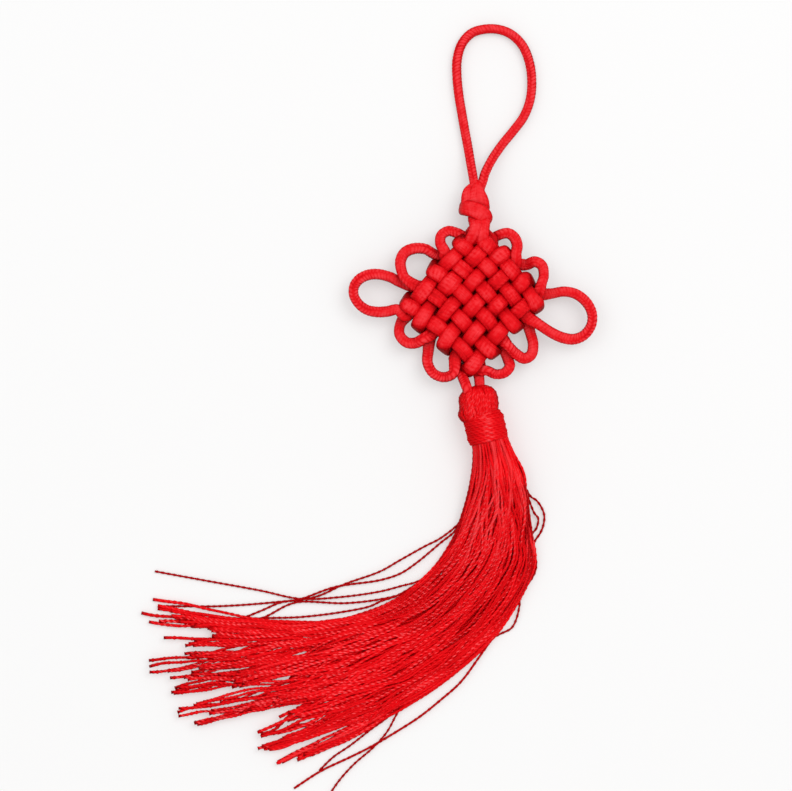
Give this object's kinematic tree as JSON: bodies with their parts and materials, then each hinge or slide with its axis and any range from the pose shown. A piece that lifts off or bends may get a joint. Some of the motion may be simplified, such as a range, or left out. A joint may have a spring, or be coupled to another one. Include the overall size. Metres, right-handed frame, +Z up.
{
  "type": "knotted cord pendant with silk tassel",
  "caption": "Flat endless knot woven from red satin cord, with a hanging loop, a crown knot, round ears and a thread-bound silk tassel.",
  "frame": {"origin": "on the table, under the middle of the pendant without its hanging loop", "axes": "+Z up from the table, +Y from the tassel towards the hanging loop, +X to the right seen from above"},
  "size_m": [0.1012, 0.1782, 0.0084],
  "materials": {
    "loop_cord": "braided red cord with a soft sheen",
    "knot_cord": "braided red satin cord, smooth where it is woven",
    "tassel_yarn": "twisted red silk yarn with small bright highlights",
    "binding_thread": "wound red silk thread"
  },
  "bodies": {
    "root": {"hanging_loop": "loop_cord", "woven_knot": "knot_cord", "tassel": "tassel_yarn", "neck_binding": "binding_thread"}
  },
  "joints": []
}
